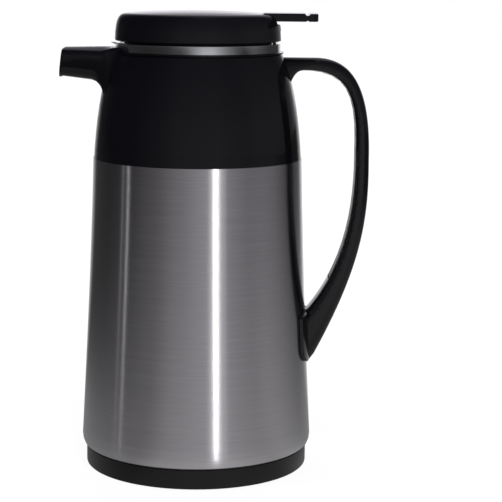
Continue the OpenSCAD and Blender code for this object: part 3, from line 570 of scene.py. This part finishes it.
def handle_ring(stretch, t, outside):
    """Section of the handle at a share of one of its stretches."""
    inner = curve_at(INNER_EDGES[stretch], t)
    outer = curve_at(OUTER_EDGES[stretch], t)
    middle = (inner + outer) / 2
    half = (outer - inner) / 2
    place = stretch + t
    slimmer = ARM_SLIMMER * max(0, 1 - place)
    wider = FOOT_WIDER * max(0, place - WIDENS_FROM)
    half_w = (GRIP_W - slimmer + wider) / 2
    ring = []
    for k in range(RING_POINTS):
        a = k * math.pi / (RING_POINTS // 2)
        power_u, power_v = outside if math.cos(a) > 0 else (FINGER_SIDE, FINGER_SIDE)
        u = squared(math.cos(a), power_u)
        v = squared(math.sin(a), power_v)
        ring.append(Vector((middle[0] + half[0] * u, half_w * v, middle[1] + half[1] * u)) * MM)
    return ring


def handle_form(outside):
    """Search tree of the handle's smooth loft, with the given powers on its outer side."""
    rings = []
    for stretch, steps in enumerate(HANDLE_STEPS):
        last = stretch == len(HANDLE_STEPS) - 1
        rings += [handle_ring(stretch, i / steps, outside) for i in range(steps + last)]
    points = [p for ring in rings for p in ring]
    n = RING_POINTS
    faces = [
        (r * n + k, r * n + (k + 1) % n, (r + 1) * n + (k + 1) % n, (r + 1) * n + k)
        for r in range(len(rings) - 1) for k in range(n)
    ]
    return BVHTree.FromPolygons(points, faces)


def split_long(work, inside, limits):
    """For each limit in turn, halve the longer edges that lie where the test accepts."""
    for longest in limits:
        long = []
        for edge in work.edges:
            start, end = (vertex.co for vertex in edge.verts)
            if edge.calc_length() > longest and inside((start + end) / 2) and inside(start) and inside(end):
                long.append(edge)
        bmesh.ops.subdivide_edges(work, edges=long, cuts=1)
        bmesh.ops.triangulate(work, faces=[face for face in work.faces if len(face.verts) > 3])


def finer_handle(mesh):
    """Split the handle's long facets and lay them on its smooth form, rounder outside."""
    skin = handle_form(SOLID_OUTSIDE)
    rounder = handle_form(ROUND_OUTSIDE)

    def on_skin(point):
        return skin.find_nearest(point, SKIN_SLACK)[0] is not None

    with edited(mesh) as work:
        split_long(work, on_skin, HANDLE_SPLITS)
        for vertex in work.verts:
            if on_skin(vertex.co):
                vertex.co = rounder.find_nearest(vertex.co)[0]


# The spout's flat top falls towards its sides: distances from the axis between which the fall
# sets in along the spout, heights between which it sets in upwards, and the fall at half width
SPOUT_FROM = 0.049
SPOUT_FULL = 0.056
SPOUT_MID = 0.2440
SPOUT_TOP = 0.2521
SPOUT_HALF = 0.0148
SPOUT_FALL = 0.0016
SPOUT_SLACK = 0.004  # the spout's sides lie up to this far outside the half width
SPOUT_SPLITS = (0.012, 0.006, 0.003)


def crown_spout(mesh):
    """Let the spout's top fall a little towards its sides, as a moulding's does."""
    def on_spout(point):
        beside = abs(point.y) < SPOUT_HALF + SPOUT_SLACK
        return point.x < -SPOUT_FROM and point.z > SPOUT_MID and beside

    with edited(mesh) as work:
        split_long(work, on_spout, SPOUT_SPLITS)
        for vertex in work.verts:
            if on_spout(vertex.co):
                x, y, z = vertex.co
                out = min(1.0, (-x - SPOUT_FROM) / (SPOUT_FULL - SPOUT_FROM))
                up = min(1.0, (z - SPOUT_MID) / (SPOUT_TOP - SPOUT_MID))
                vertex.co.z = z - SPOUT_FALL * out * up * (y / SPOUT_HALF) ** 2


EVEN = {"neck_ring", "shoulder", "handle", "handle_cover", "lid_cover", "lever"}
RESHAPED = {"neck_ring": crisp_edge, "handle": finer_handle, "shoulder": crown_spout}
# Degrees from which an edge stays sharp
CREASE = 32
CREASE_OF = {"shoulder": 52}


def dress(node, material):
    """A copy of a node's surface with smooth shading, which stands for the node."""
    source = frame["nodes"][node]
    mesh = source.data.copy()
    piece = bpy.data.objects.new("look_" + node, mesh)
    bpy.context.scene.collection.objects.link(piece)
    if mesh.has_custom_normals:
        with bpy.context.temp_override(object=piece, active_object=piece):
            bpy.ops.mesh.customdata_custom_splitnormals_clear()
    mesh.materials.clear()
    mesh.materials.append(material)
    for polygon in mesh.polygons:
        polygon.material_index = 0
    if node in RESHAPED:
        RESHAPED[node](mesh)
    smooth(mesh, math.radians(CREASE_OF.get(node, CREASE)))
    if node in EVEN:
        even_normals(piece)
    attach(piece, source["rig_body"])
    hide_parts(node)
    return piece


bpy.context.scene.view_settings.view_transform = "Standard"
add_camera()
add_world()
add_floor()
add_lights()

black = gloss_black("gloss_black", rough=0.085)
lid_black = gloss_black("lid_black", rough=0.07)
satin = satin_black("satin_black", rough=0.33)
steel = brushed_steel("shell_steel", SHELL_STEEL, rough=0.26, aniso=1.0, grain=1.0)
plain_steel = brushed_steel("plain_steel", PLAIN_STEEL, rough=0.3, aniso=0.2, grain=0.6)
ring_chrome = chrome("ring_chrome", rough=0.06)
rubber = silicone("silicone")
glass = silvered_glass("silvered_glass")

LOOKS = [
    (steel, ["outer_shell"]),
    (ring_chrome, ["neck_ring"]),
    (plain_steel, ["handle_backplate", "handle_screws", "lid_screws", "hinge_pin", "lever_pin",
                   "stem_clip", "valve_spring"]),
    (satin, ["base_ring", "base_cap", "handle_cover", "lid_base", "valve_stem"]),
    (rubber, ["bottom_cushion", "glass_spacers", "mouth_gasket", "stopper_seal", "valve_seal"]),
    (glass, ["glass_outer", "glass_inner"]),
    (black, ["shoulder", "pour_chamber", "handle"]),
    (lid_black, ["lid_cover", "lever"]),
]
pieces = {node: dress(node, look) for look, nodes in LOOKS for node in nodes}
add_strips(pieces["outer_shell"])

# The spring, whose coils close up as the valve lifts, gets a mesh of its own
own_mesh(pieces["valve_spring"])
